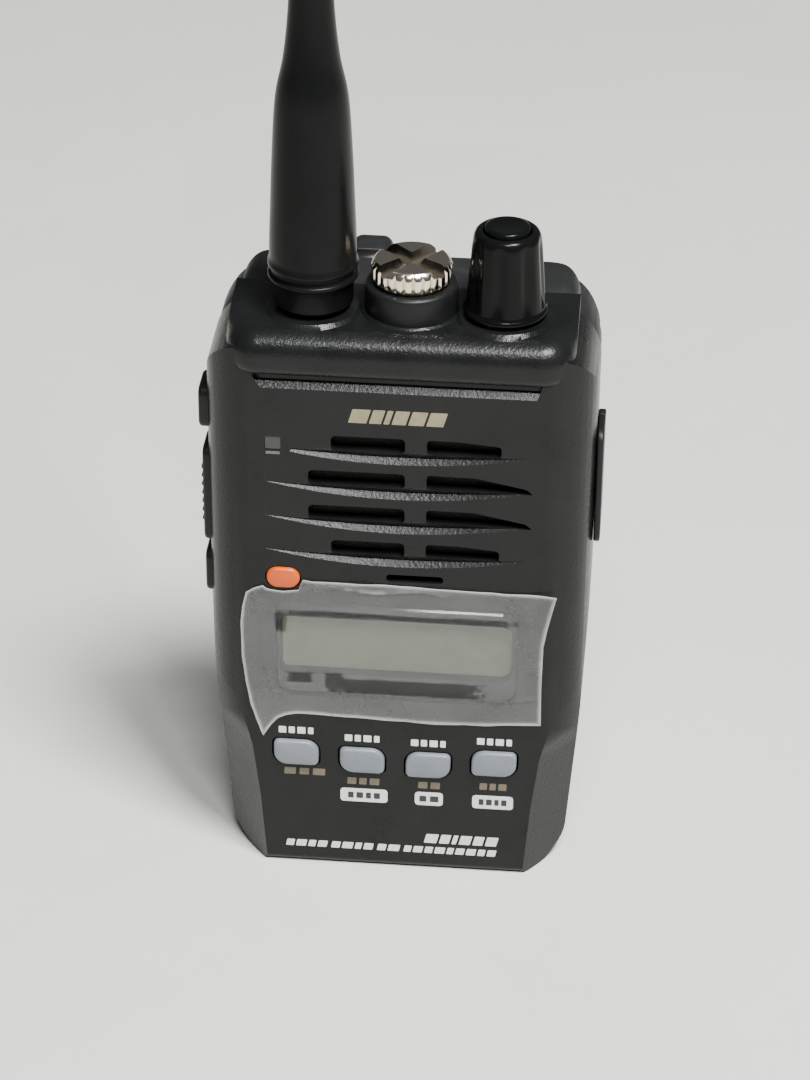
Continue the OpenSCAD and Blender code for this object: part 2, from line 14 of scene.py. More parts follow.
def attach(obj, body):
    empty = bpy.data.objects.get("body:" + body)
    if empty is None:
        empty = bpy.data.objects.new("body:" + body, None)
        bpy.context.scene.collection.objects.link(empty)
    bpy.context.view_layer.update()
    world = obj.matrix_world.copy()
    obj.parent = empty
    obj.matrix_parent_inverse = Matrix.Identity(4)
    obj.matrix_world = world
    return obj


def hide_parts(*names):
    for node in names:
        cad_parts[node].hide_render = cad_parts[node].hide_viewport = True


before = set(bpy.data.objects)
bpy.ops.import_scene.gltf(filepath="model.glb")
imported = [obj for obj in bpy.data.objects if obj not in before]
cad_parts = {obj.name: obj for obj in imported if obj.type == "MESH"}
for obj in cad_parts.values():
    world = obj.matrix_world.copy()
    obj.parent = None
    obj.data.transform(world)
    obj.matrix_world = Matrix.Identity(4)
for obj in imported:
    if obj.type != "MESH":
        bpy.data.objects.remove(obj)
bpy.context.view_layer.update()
MM = 0.001

# %% [markdown]
# ## Camera
# The radio is seen from a little above and a hair to the right, through a long lens, so upright edges
# stay almost parallel. The place follows from two angles and a distance, which are easier to read and
# to change than a matrix.

# %% Camera
AIM = Vector((1.2, -15, 61.2)) * MM
CAMERA_SIDE = math.radians(4.7)
CAMERA_HEIGHT = math.radians(31.9)
CAMERA_ROLL = math.radians(0.5)
CAMERA_DISTANCE = 0.5075
CAMERA_LENS, CAMERA_SENSOR = 113.3, 36

towards_camera = Vector((math.sin(CAMERA_SIDE) * math.cos(CAMERA_HEIGHT),
                         -math.cos(CAMERA_SIDE) * math.cos(CAMERA_HEIGHT),
                         math.sin(CAMERA_HEIGHT)))
camera_data = bpy.data.cameras.new("camera")
camera_data.lens = CAMERA_LENS
camera_data.sensor_width = CAMERA_SENSOR
camera = bpy.data.objects.new("camera", camera_data)
camera.rotation_mode = "QUATERNION"
camera.rotation_quaternion = (Quaternion(towards_camera, CAMERA_ROLL)
                              @ towards_camera.to_track_quat("Z", "Y"))
camera.location = AIM + towards_camera * CAMERA_DISTANCE
camera_data.clip_start = 0.01
bpy.context.scene.collection.objects.link(camera)
bpy.context.scene.camera = camera

# %% [markdown]
# ## Shared surface effects
# Moulded plastic is never perfectly even. Two node groups hold what all the finishes share: a fine
# grain that breaks up reflections, and broad smudges left by handling. Each puts out a value or a
# normal, and every material places them with its own scale.

# %% Node group helpers
def new_group(name, inputs, outputs):
    group = bpy.data.node_groups.new(name, "ShaderNodeTree")
    for label, kind, value in inputs:
        socket = group.interface.new_socket(label, in_out="INPUT", socket_type=kind)
        socket.default_value = value
    for label, kind in outputs:
        group.interface.new_socket(label, in_out="OUTPUT", socket_type=kind)
    return group, group.nodes.new("NodeGroupInput"), group.nodes.new("NodeGroupOutput")


FLOAT, VECTOR = "NodeSocketFloat", "NodeSocketVector"


# %% Fine grain
# A noise a few tenths of a millimetre across, turned into a normal.
grain_group, g_in, g_out = new_group(
    "fine_grain", [("Scale", FLOAT, 3000), ("Depth", FLOAT, 0.00002)],
    [("Normal", VECTOR), ("Mask", FLOAT)])
place = grain_group.nodes.new("ShaderNodeTexCoord")
cells = grain_group.nodes.new("ShaderNodeTexNoise")
cells.inputs["Detail"].default_value = 2
cells.inputs["Roughness"].default_value = 0.65
relief = grain_group.nodes.new("ShaderNodeBump")
relief.inputs["Strength"].default_value = 1
grain_group.links.new(place.outputs["Object"], cells.inputs["Vector"])
grain_group.links.new(g_in.outputs["Scale"], cells.inputs["Scale"])
grain_group.links.new(cells.outputs["Fac"], relief.inputs["Height"])
grain_group.links.new(g_in.outputs["Depth"], relief.inputs["Distance"])
grain_group.links.new(relief.outputs["Normal"], g_out.inputs["Normal"])
grain_group.links.new(cells.outputs["Fac"], g_out.inputs["Mask"])

# %% Handling smudges
# Broad soft patches. Low and High set where the patches start and end.
smudge_group, s_in, s_out = new_group(
    "smudges", [("Scale", FLOAT, 90), ("Low", FLOAT, 0.35), ("High", FLOAT, 0.75)], [("Mask", FLOAT)])
place = smudge_group.nodes.new("ShaderNodeTexCoord")
cloud = smudge_group.nodes.new("ShaderNodeTexNoise")
cloud.inputs["Detail"].default_value = 6
cloud.inputs["Roughness"].default_value = 0.7
cloud.inputs["Distortion"].default_value = 0.6
spread = smudge_group.nodes.new("ShaderNodeMapRange")
smudge_group.links.new(place.outputs["Object"], cloud.inputs["Vector"])
smudge_group.links.new(s_in.outputs["Scale"], cloud.inputs["Scale"])
smudge_group.links.new(cloud.outputs["Fac"], spread.inputs["Value"])
smudge_group.links.new(s_in.outputs["Low"], spread.inputs["From Min"])
smudge_group.links.new(s_in.outputs["High"], spread.inputs["From Max"])
smudge_group.links.new(spread.outputs["Result"], s_out.inputs["Mask"])


# %% [markdown]
# ## Finishes
# One short recipe covers plastics, rubbers and metals: two close colours mixed by the smudges, a
# roughness that the smudges shift, and the grain's normal. What differs is named in each call.

# %% Finish recipe
def finish(name, colour, second, rough=(0.45, 0.6), grain=(3000, 0.00002), smudge=(90, 0.35, 0.75),
           **sockets):
    material = bpy.data.materials.new(name)
    material.use_nodes = True
    nodes, links = material.node_tree.nodes, material.node_tree.links
    shader = nodes["Principled BSDF"]
    for label, value in sockets.items():
        shader.inputs[label.replace("_", " ")].default_value = value
    patches = nodes.new("ShaderNodeGroup")
    patches.node_tree = smudge_group
    for label, value in zip(("Scale", "Low", "High"), smudge):
        patches.inputs[label].default_value = value
    tint = nodes.new("ShaderNodeMix")
    tint.data_type = "RGBA"
    tint.inputs["A"].default_value = (*colour, 1)
    tint.inputs["B"].default_value = (*second, 1)
    dull = nodes.new("ShaderNodeMapRange")
    dull.inputs["To Min"].default_value, dull.inputs["To Max"].default_value = rough
    skin = nodes.new("ShaderNodeGroup")
    skin.node_tree = grain_group
    skin.inputs["Scale"].default_value, skin.inputs["Depth"].default_value = grain
    links.new(patches.outputs["Mask"], tint.inputs["Factor"])
    links.new(tint.outputs["Result"], shader.inputs["Base Color"])
    links.new(patches.outputs["Mask"], dull.inputs["Value"])
    links.new(dull.outputs["Result"], shader.inputs["Roughness"])
    links.new(skin.outputs["Normal"], shader.inputs["Normal"])
    return material


# %% Finishes of the casings and rubbers
case_black = finish("case_black", (0.0048, 0.0052, 0.0054), (0.0085, 0.009, 0.0093), rough=(0.25, 0.35),
                    grain=(2100, 0.00006), Specular_IOR_Level=0.2)
chassis_black = finish("chassis_black", (0.009, 0.0095, 0.0098), (0.014, 0.0145, 0.015), rough=(0.4, 0.52),
                       grain=(1900, 0.00003), Specular_IOR_Level=0.3)
pack_black = finish("pack_black", (0.009, 0.0095, 0.0098), (0.014, 0.0145, 0.015), rough=(0.42, 0.56),
                    grain=(2200, 0.00003), Specular_IOR_Level=0.3)
sheath_black = finish("sheath_black", (0.003, 0.0032, 0.0034), (0.005, 0.0052, 0.0055), rough=(0.28, 0.36),
                      grain=(1500, 0.000006), Specular_IOR_Level=0.1)
rubber_black = finish("rubber_black", (0.006, 0.0063, 0.0066), (0.01, 0.0105, 0.011), rough=(0.36, 0.5),
                      grain=(2400, 0.00002), Specular_IOR_Level=0.2)
dial_black = finish("dial_black", (0.0025, 0.0027, 0.0028), (0.0045, 0.0047, 0.005), rough=(0.16, 0.24),
                    grain=(1800, 0.000003), Specular_IOR_Level=0.1)
seal_black = finish("seal_black", (0.008, 0.008, 0.008), (0.012, 0.012, 0.012), rough=(0.35, 0.5))
gasket_red = finish("gasket_red", (0.25, 0.07, 0.04), (0.2, 0.05, 0.03), rough=(0.5, 0.6))
socket_black = finish("socket_black", (0.01, 0.01, 0.011), (0.015, 0.015, 0.016), rough=(0.35, 0.5))
key_grey = finish("key_grey", (0.135, 0.15, 0.178), (0.17, 0.188, 0.215), rough=(0.36, 0.5),
                  grain=(1800, 0.00002),
                  smudge=(260, 0.3, 0.7), Subsurface_Weight=0.25, Subsurface_Scale=0.0015,
                  Subsurface_Radius=(0.9, 1, 1.1))
key_orange = finish("key_orange", (0.52, 0.07, 0.003), (0.58, 0.1, 0.006), rough=(0.38, 0.5),
                    grain=(1800, 0.00002), Subsurface_Weight=0.15, Subsurface_Scale=0.001,
                    Subsurface_Radius=(1, 0.5, 0.2))

# %% Finishes of the metals
cap_nickel = finish("cap_nickel", (0.83, 0.76, 0.64), (0.72, 0.64, 0.52), rough=(0.12, 0.24),
                    grain=(1200, 0.00001), Metallic=1)
screw_steel = finish("screw_steel", (0.42, 0.42, 0.43), (0.3, 0.3, 0.31), rough=(0.25, 0.4), Metallic=1)
tin_plate = finish("tin_plate", (0.6, 0.59, 0.56), (0.48, 0.47, 0.45), rough=(0.25, 0.45), Metallic=1)
dark_steel = finish("dark_steel", (0.2, 0.2, 0.21), (0.13, 0.13, 0.14), rough=(0.3, 0.5), Metallic=1)
contact_gold = finish("contact_gold", (0.83, 0.6, 0.24), (0.68, 0.48, 0.2), rough=(0.18, 0.35), Metallic=1)
turned_brass = finish("turned_brass", (0.72, 0.53, 0.24), (0.55, 0.4, 0.2), rough=(0.25, 0.4), Metallic=1)

# %% Finishes of the inner pieces
board_green = finish("board_green", (0.012, 0.09, 0.04), (0.02, 0.13, 0.06), rough=(0.3, 0.45),
                     smudge=(600, 0.45, 0.55))
cell_blue = finish("cell_blue", (0.02, 0.11, 0.26), (0.03, 0.14, 0.3), rough=(0.25, 0.35))
cone_grey = finish("cone_grey", (0.05, 0.05, 0.048), (0.035, 0.035, 0.034), rough=(0.45, 0.6))
holder_white = finish("holder_white", (0.62, 0.62, 0.57), (0.54, 0.54, 0.5), rough=(0.4, 0.5))
mesh_cloth = finish("mesh_cloth", (0.004, 0.004, 0.004), (0.01, 0.01, 0.01), rough=(0.8, 0.95),
                    grain=(5000, 0.00008), smudge=(3500, 0.45, 0.6))
display_green = finish("display_green", (0.15, 0.155, 0.09), (0.205, 0.21, 0.13), rough=(0.35, 0.5),
                       grain=(3500, 0.000015), smudge=(330, 0.35, 0.65))
indicator_smoke = finish("indicator_smoke", (0.018, 0.019, 0.02), (0.03, 0.032, 0.033), rough=(0.2, 0.3))
print_white = finish("print_white", (0.72, 0.75, 0.74), (0.55, 0.58, 0.57), rough=(0.4, 0.5),
                     smudge=(900, 0.35, 0.7))
print_khaki = finish("print_khaki", (0.13, 0.105, 0.07), (0.09, 0.07, 0.05), rough=(0.45, 0.55),
                     smudge=(900, 0.35, 0.7))
print_gold = finish("print_gold", (0.27, 0.235, 0.145), (0.2, 0.175, 0.11), rough=(0.35, 0.5),
                    smudge=(900, 0.35, 0.7), Metallic=0.3)

# %% [markdown]
# ## Finishes on the CAD pieces
# Most inner pieces keep their CAD shape. Their finish goes straight into the material slots.

# %% Dress the CAD nodes
CAD_FINISH = {
    "case_seal": gasket_red, "case_screws": screw_steel, "clip_inserts": turned_brass,
    "main_board": board_green, "rf_shield": tin_plate, "speaker_frame": dark_steel,
    "speaker_cone": cone_grey, "speaker_magnet": dark_steel, "speaker_mesh": mesh_cloth,
    "lcd_panel": display_green, "lcd_holder": holder_white, "indicator_lens": indicator_smoke,
    "dome_switches": contact_gold, "side_switches": tin_plate, "microphone": tin_plate,
    "antenna_jack": contact_gold, "mic_jack": socket_black, "dial_encoder": tin_plate,
    "dial_nut": screw_steel, "dc_jack": socket_black, "chassis_contacts": contact_gold,
    "battery_catch": screw_steel, "antenna_seal": seal_black, "antenna_core": turned_brass,
    "cap_seal": seal_black, "dial_shaft": screw_steel, "battery_lid": pack_black,
    "battery_cells": cell_blue, "battery_board": board_green, "battery_contacts": contact_gold,
    "latch_spring": screw_steel, "front_case": case_black, "rear_chassis": chassis_black,
    "battery_case": pack_black, "antenna_nut": sheath_black, "antenna_sheath": sheath_black,
    "jack_collar": rubber_black, "jack_cap": cap_nickel, "dial_knob": dial_black,
    "dial_cap": dial_black, "key_1": key_grey, "key_2": key_grey, "key_3": key_grey, "key_4": key_grey,
    "power_key": key_orange, "ptt_key": rubber_black, "upper_side_key": rubber_black,
    "lower_side_key": rubber_black, "dc_cover": rubber_black, "cover_anchor": rubber_black,
    "battery_latch": socket_black, "window_lens": indicator_smoke, "screen_film": indicator_smoke,
}


def dress(piece, material):
    piece.data.materials.clear()
    piece.data.materials.append(material)


for node_name, material in CAD_FINISH.items():
    dress(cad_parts[node_name], material)
print("dressed", len(CAD_FINISH), "CAD nodes of", len(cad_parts))

# %% [markdown]
# ## How new pieces are made
# A moulding begins as a flat outline with a few corners. Bevelling its corner vertices rounds them,
# extruding gives it depth, and bevelling the front loop softens the edge. Openings are cut with
# Boolean modifiers, because they stay exact where many of them meet one curved wall. Everything is
# drawn in millimetres and scaled to metres once, when the piece is published.

# %% Outline helpers
FRONT_PLANE = Matrix.Rotation(math.radians(90), 3, "X")
SIDE_PLANE = Matrix(((0, 0, 1), (1, 0, 0), (0, 1, 0)))
FLOOR_PLANE = Matrix.Identity(3)


def outline(corners, plane=FRONT_PLANE):
    """A flat face from corners (x, y, radius, steps); a radius of 0 keeps the corner sharp."""
    bm = bmesh.new()
    verts = [bm.verts.new((c[0], c[1], 0)) for c in corners]
    bm.faces.new(verts)
    for vert, corner in zip(verts, corners):
        if len(corner) > 2 and corner[2]:
            bmesh.ops.bevel(bm, geom=[vert], affect="VERTICES", offset=corner[2],
                            offset_type="OFFSET", segments=corner[3] if len(corner) > 3 else 5,
                            profile=0.5, material=-1)
    bmesh.ops.rotate(bm, matrix=plane, verts=bm.verts)
    return bm


def rounded(width, height, radius, centre=(0, 0), plane=FRONT_PLANE, steps=5):
    x, y = width / 2, height / 2
    cx, cy = centre
    return outline([(cx - x, cy - y, radius, steps), (cx + x, cy - y, radius, steps),
                    (cx + x, cy + y, radius, steps), (cx - x, cy + y, radius, steps)], plane)


def push(bm, start, end):
    """Moves a flat outline to its start and extrudes it to its end, both in millimetres."""
    start, end = Vector(start), Vector(end)
    bmesh.ops.translate(bm, vec=start, verts=bm.verts)
    grown = bmesh.ops.extrude_face_region(bm, geom=bm.faces[:])
    bmesh.ops.translate(bm, vec=end - start,
                        verts=[v for v in grown["geom"] if isinstance(v, bmesh.types.BMVert)])
    bmesh.ops.recalc_face_normals(bm, faces=bm.faces)
    return bm


def along_y(bm, front, back):
    return push(bm, (0, front, 0), (0, back, 0))


def round_edges(bm, chosen, radius, steps=4):
    """Bevels the edges whose two ends both pass the test."""
    edges = [e for e in bm.edges if all(chosen(v.co) for v in e.verts)]
    bmesh.ops.bevel(bm, geom=edges, affect="EDGES", offset=radius, offset_type="OFFSET",
                    segments=steps, profile=0.5, clamp_overlap=False, material=-1)
    return bm


def rod(place, radius, length, axis="Z", top_radius=None, sides=48):
    """A cylinder or cone from place, along an axis."""
    bm = bmesh.new()
    bmesh.ops.create_cone(bm, cap_ends=True, segments=sides, radius1=radius,
                          radius2=radius if top_radius is None else top_radius, depth=length,
                          matrix=Matrix.Translation((0, 0, length / 2)))
    turn = {"X": Matrix.Rotation(math.radians(90), 3, "Y"), "Y": Matrix.Rotation(math.radians(-90), 3, "X"),
            "Z": Matrix.Identity(3)}[axis]
    bmesh.ops.rotate(bm, matrix=turn, verts=bm.verts)
    bmesh.ops.translate(bm, vec=Vector(place), verts=bm.verts)
    return bm


# %% Boolean helper
def as_object(bm, name="blank"):
    mesh = bpy.data.meshes.new(name)
    bm.to_mesh(mesh)
    bm.free()
    made = bpy.data.objects.new(name, mesh)
    bpy.context.scene.collection.objects.link(made)
    return made


def joined(parts):
    """Puts several separate blanks into one bmesh."""
    whole = bmesh.new()
    for part in parts:
        mesh = bpy.data.meshes.new("part")
        part.to_mesh(mesh)
        part.free()
        whole.from_mesh(mesh)
        bpy.data.meshes.remove(mesh)
    return whole


def machined(blank, steps):
    """Applies a row of (operation, tool) Booleans to a blank and returns the result."""
    work = as_object(blank)
    tools = []
    for operation, tool in steps:
        tools.append(as_object(tool, "tool"))
        step = work.modifiers.new("step", "BOOLEAN")
        step.operation, step.solver, step.object = operation, "EXACT", tools[-1]
    bpy.context.view_layer.update()
    done = bmesh.new()
    done.from_object(work, bpy.context.evaluated_depsgraph_get())
    for used in (work, *tools):
        bpy.data.objects.remove(used)
    bmesh.ops.remove_doubles(done, verts=done.verts, dist=0.002)
    bmesh.ops.dissolve_degenerate(done, dist=0.002, edges=done.edges)
    bmesh.ops.triangulate(done, faces=[f for f in done.faces if len(f.verts) > 6])
    return done


# %% Publishing a piece
def publish(bm, name, material, body, stands_for=(), edge=0.0, steps=2, angle=30,
            weighted=False):
    """Turns a finished bmesh into a piece that rides on its body."""
    bmesh.ops.scale(bm, vec=(MM,) * 3, verts=bm.verts)
    mesh = bpy.data.meshes.new(name)
    bm.to_mesh(mesh)
    bm.free()
    mesh.shade_smooth()
    if not edge:
        mesh.set_sharp_from_angle(angle=math.radians(angle))
    piece = bpy.data.objects.new(name, mesh)
    bpy.context.scene.collection.objects.link(piece)
    if edge:
        softener = piece.modifiers.new("soft_edges", "BEVEL")
        softener.width, softener.segments = edge * MM, steps
        softener.limit_method, softener.angle_limit = "ANGLE", math.radians(angle)
        if "bevel_weight_edge" in mesh.attributes:
            softener.limit_method = "WEIGHT"
        softener.use_clamp_overlap = False
        softener.harden_normals = True
    if weighted:
        flatten = piece.modifiers.new("flat_faces", "WEIGHTED_NORMAL")
        flatten.keep_sharp = True
    dress(piece, material)
    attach(piece, body)
    if stands_for:
        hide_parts(*stands_for)
    print(name, len(mesh.polygons), "faces")
    return piece


# %% [markdown]
# ## Pieces that only need softer edges
# The chassis, the battery pack and the small rubber and metal pieces have the right shape in CAD,
# but with knife-sharp edges. A merged copy of each gets a narrow bevel on its outward edges, which
# gives light an edge to catch, and stands for its CAD node. Inward corners stay as they are, so
# nothing that slides inside a piece meets extra material.

# %% Soften the plain mouldings
def soften(node_name, material, body, edge, name, angle=32, steps=2, cuts=()):
    bm = bmesh.new()
    bm.from_mesh(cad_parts[node_name].data)
    bmesh.ops.scale(bm, vec=(1 / MM, 1 / MM, 1 / MM), verts=bm.verts)
    bmesh.ops.remove_doubles(bm, verts=bm.verts, dist=0.001)
    bmesh.ops.dissolve_limit(bm, angle_limit=math.radians(0.5), verts=bm.verts, edges=bm.edges)
    if cuts:
        bm = machined(bm, cuts)
    weight = bm.edges.layers.float.new("bevel_weight_edge")
    for e in bm.edges:
        e[weight] = float(e.is_manifold and e.is_convex and e.calc_face_angle(0) > math.radians(angle))
    return publish(bm, name, material, body, (node_name,), edge=edge, angle=angle, steps=steps)


# The strap eye gets rounder cheeks than its CAD shape has.
eye = rod((-9.6, 14.3, 92.9), 3.6, 6.2, "X")
round_edges(eye, lambda p: p.x < -9.59, 1.6, 5)
round_edges(eye, lambda p: p.x > -3.41, 1.6, 5)
soften("rear_chassis", chassis_black, "case", 0.2, "chassis",
       cuts=[("UNION", eye), ("DIFFERENCE", rod((-11, 14.3, 92.9), 1.6, 9, "X"))])
# The latch window is 0.1 mm wider all round and the latch's foot 0.15 mm shorter than in CAD, so the
# latch keeps a gap at the end of its travel.
soften("battery_case", pack_black, "battery", 0.25, "pack_shell",
       cuts=[("DIFFERENCE", along_y(rounded(8.8, 9.2, 0.3, (0, 8)), 15, 19))])
soften("battery_latch", socket_black, "latch", 0.15, "pack_latch",
       cuts=[("DIFFERENCE", along_y(rounded(12, 4, 0.1, (0, 0.75)), 4, 18))])
soften("dc_cover", rubber_black, "dc_cover", 0.3, "side_cover", steps=3)
soften("cover_anchor", rubber_black, "case", 0.2, "side_cover_root")
soften("case_screws", screw_steel, "case", 0.08, "rear_screws")

# %% [markdown]
# ## Front shell
# The front shell is one moulding: a tall panel whose upright edges are rounded over, flank facets
# that pinch it towards the base, a thick roll across the top, and four louvres over the speaker. Each
# of these is one blank or one cutter below.

# %% Shell blank
BASE_CORNER, SHOULDER = 5.4, 8
body_outline = [(-26.2, 0, BASE_CORNER, 8), (26.2, 0, BASE_CORNER, 8), (28.1, 26, 3, 3), (29, 48, 4, 3),
                (29, 93.2, SHOULDER, 10), (-29, 93.2, SHOULDER, 10), (-29, 48, 4, 3), (-28.1, 26, 3, 3)]
FACE, SEAM, NOSE, TOP = -15, 2, -16, 95
shell_blank = along_y(outline(body_outline), FACE, SEAM)
round_edges(shell_blank, lambda p: p.y < FACE + 0.1, 1.3, 5)

# %% Upright edges
# Seen from above, the shell is a rectangle with two large rounded corners in front.
PLAN_CORNER = 7.4
plan = outline([(-29.02, FACE - 0.02, PLAN_CORNER, 10), (29.02, FACE - 0.02, PLAN_CORNER, 10),
                (29.02, SEAM + 2), (-29.02, SEAM + 2)],
               FLOOR_PLANE)
push(plan, (0, 0, -1), (0, 0, 96))


# %% Flank facets
# Each facet's front edge runs down in a slow curve, so its cutter is extruded in five short steps.
def flank_cutter(side):
    curve = [(19.9, -4), (20.25, 0), (21.2, 12.6), (22.3, 22), (24.3, 31.3), (28.0, 42.5), (31.5, 50)]
    x0, z0 = curve[0]
    section = [(x0, -19), (x0, -15), (x0 + 12, -1), (x0 + 22, -1), (x0 + 22, -19)]
    bm = outline([(side * x, y) for x, y in section], FLOOR_PLANE)
    bmesh.ops.translate(bm, vec=(0, 0, z0), verts=bm.verts)
    last, inner = bm.faces[:], []
    for (xa, za), (xb, zb) in zip(curve, curve[1:]):
        grown = bmesh.ops.extrude_face_region(bm, geom=last)
        last = [f for f in grown["geom"] if isinstance(f, bmesh.types.BMFace)]
        inner += last
        bmesh.ops.translate(bm, vec=(side * (xb - xa), 0, zb - za),
                            verts=[v for v in grown["geom"] if isinstance(v, bmesh.types.BMVert)])
    bmesh.ops.delete(bm, geom=[f for f in inner if f.is_valid and f not in last], context="FACES_ONLY")
    bmesh.ops.recalc_face_normals(bm, faces=bm.faces)
    return bm


# %% Top roll
# A block with rounded plan corners, a fat rounded front edge and a smaller one underneath.
def top_roll(front, back):
    half = 25.6
    bm = outline([(-half, front, 5, 8), (half, front, 5, 8), (half, back), (-half, back)], FLOOR_PLANE)
    push(bm, (0, 0, 88), (0, 0, TOP))
    round_edges(bm, lambda p: p.z > TOP - 0.01 and not p.y > back - 0.01, 3.7, 8)
    round_edges(bm, lambda p: p.z < 88.01 and not p.y > back - 0.01, 2.2, 5)
    return bm


# %% Channel above the panel
# A bright ledge and the dark gap behind it set the panel off from the roll.
channel = outline([(-17, 86.1), (-15, 86.1), (-13.97, 87.2), (-13.97, 89.6), (-17, 89.6)], SIDE_PLANE)
push(channel, (-21.4, 0, 0), (21.4, 0, 0))
for v in channel.verts:
    if v.co.z < 86.5:
        v.co.x *= 0.948


# %% Speaker louvres
# Under each slot row a scoop cuts in at a slant and comes back out as a narrow ledge that faces up.
# The ledge follows a circle of large radius, so each scoop ends in two points.
def louvre(z_low, left_end=None):
    radius, rise = 91.0, 2.2
    bm = bmesh.new()
    bmesh.ops.create_cone(bm, cap_ends=True, segments=360, radius1=radius + 1.05, radius2=radius - 3.15,
                          depth=4,
                          matrix=Matrix.Translation((0, 0, 2)))
    bmesh.ops.rotate(bm, matrix=Matrix.Rotation(math.radians(-90), 3, "X"), verts=bm.verts)
    bmesh.ops.translate(bm, vec=(0, FACE - 1, z_low + radius), verts=bm.verts)
    cuts = [(Vector((0, FACE, z_low + rise)), Vector((0, 1, 0.57)))]
    if left_end is not None:
        cuts.append((Vector((left_end, 0, z_low + rise)), Vector((-1, 0, 0.35))))
    for point, normal in cuts:
        bmesh.ops.bisect_plane(bm, geom=bm.verts[:] + bm.edges[:] + bm.faces[:], plane_co=point,
                               plane_no=normal, clear_outer=True)
        bmesh.ops.holes_fill(bm, edges=[e for e in bm.edges if e.is_boundary])
    bmesh.ops.recalc_face_normals(bm, faces=bm.faces)
    return bm


louvres = [louvre(74.1, -15.7), louvre(68.1), louvre(62.2), louvre(56.3)]


# %% Speaker slots
# The left slots are plain. The right ones thin out towards the side of the radio.
def slot_hole(x0, x1, z, tip):
    low, high = z - 1.25, z + 1.25
    left = [(x0, low, 0.6, 4)]
    right = [(x1, low, 0.25, 2)] if tip < 1 else [(x1, low, 0.6, 4)]
    top_right = [(x1 - (0.9 if tip < 1 else 0), low + tip, 0.5, 4)]
    shoulder = [(x0 + 0.45 * (x1 - x0), high - 0.05, 0, 0)]
    return along_y(outline(left + right + top_right + shoulder + [(x0, high, 0.6, 4)]), FACE - 1, -12)


SLOT_ROWS = [(77.3, -9.9, 1.1, 4.3, 15.3, 1.9), (71.3, -13.3, 1.1, 4.3, 20.1, 0.9),
             (65.3, -13.3, 1.1, 4.3, 20.1, 0.9), (59.3, -9.9, 1.1, 4.3, 15.3, 1.9)]
slots = []
for z, left0, left1, right0, right1, tip in SLOT_ROWS:
    slots += [along_y(rounded(left1 - left0, 2.5, 0.7, ((left0 + left1) / 2, z)), FACE - 1, -12),
              slot_hole(right0, right1, z, tip)]
slots.append(along_y(rounded(8.6, 1.25, 0.55, (2.7, 54.3)), FACE - 1, -12))
print("speaker openings:", len(slots))

# %% Key shapes
# Every key leans outwards: two opposite corners are wide arcs, the other two are tight.
KEY_PLACES = [(-15.5, 21.4, -1), (-5.2, 20.5, -1), (5.1, 20.25, 1), (15.35, 21.2, 1)]


def key_outline(x, z, lean, width, height, grow=0.0):
    w, h = width / 2 + grow, height / 2 + grow
    wide, tight = 2.1 + grow, 0.9 + grow
    turn = [wide, tight, wide, tight] if lean < 0 else [tight, wide, tight, wide]
    corners = [(-w, -h), (w, -h), (w, h), (-w, h)]
    return outline([(x + cx, z + cy, r, 6) for (cx, cy), r in zip(corners, turn)])


# %% Openings in the front and sides
SIDE_KEYS = {"upper_side_key": (78.5, 7.0, 1.4), "ptt_key": (63.5, 16.5, 1.0),
             "lower_side_key": (49.8, 7.4, 0.9)}
openings = slots + [along_y(rounded(35.8, 14.6, 2, (0, 40.6)), FACE - 1, -11),
                    along_y(rounded(37.2, 17.2, 2.6, (0, 40.6)), FACE - 1, FACE + 1),
                    along_y(rounded(5.5, 3.9, 1.9, (-17.2, 53.5)), FACE - 1, -11),
                    along_y(rounded(2.4, 2.2, 0.3, (-18.5, 76.8)), FACE - 1, -11)]
openings += [along_y(key_outline(x, z, lean, 7.2, 4.7, 0.2), FACE - 1, -11) for x, z, lean in KEY_PLACES]
for z, length, _ in SIDE_KEYS.values():
    openings.append(push(rounded(7.3, length + 0.3, 1.6, (-5.5, z), SIDE_PLANE), (-31, 0, 0), (-25, 0, 0)))
openings += [rod((25, -5, 68.8), 3.2, 6, "X"), rod((-13.3, -6, 90), 3.25, 7), rod((1, -4.5, 90), 4.85, 7),
             rod((14.9, -6, 90), 3.6, 7), rod((1, -4.5, 95.01), 6.95, 3)]

# %% Inside of the shell
deep = along_y(outline([(-23, 2, 4, 3), (23, 2, 4, 3), (24.4, 26), (27, 44), (27, 91.2, 6.5, 5),
                        (-27, 91.2, 6.5, 5),
                        (-27, 44), (-24.4, 26)]), -9.8, SEAM + 2)
shallow = along_y(outline([(-18.4, 2), (18.4, 2), (19.4, 20), (22.3, 36), (22.3, 90), (-22.3, 90),
                           (-22.3, 36), (-19.4, 20)]),
                  -13, -9.5)
stem_room = push(rounded(44, 12, 1, (0, -5), FLOOR_PLANE), (0, 0, 89), (0, 0, 93))

# %% Creases
# A wide and very shallow V runs down each side of the panel.
creases = []
for side in (-1, 1):
    crease = push(outline([(-0.75, 0), (0, -0.1), (0.75, 0), (0, 0.1)], FLOOR_PLANE),
                  (side * 21.4, FACE, 33), (side * 21.4, FACE, 85.2))
    creases.append(crease)

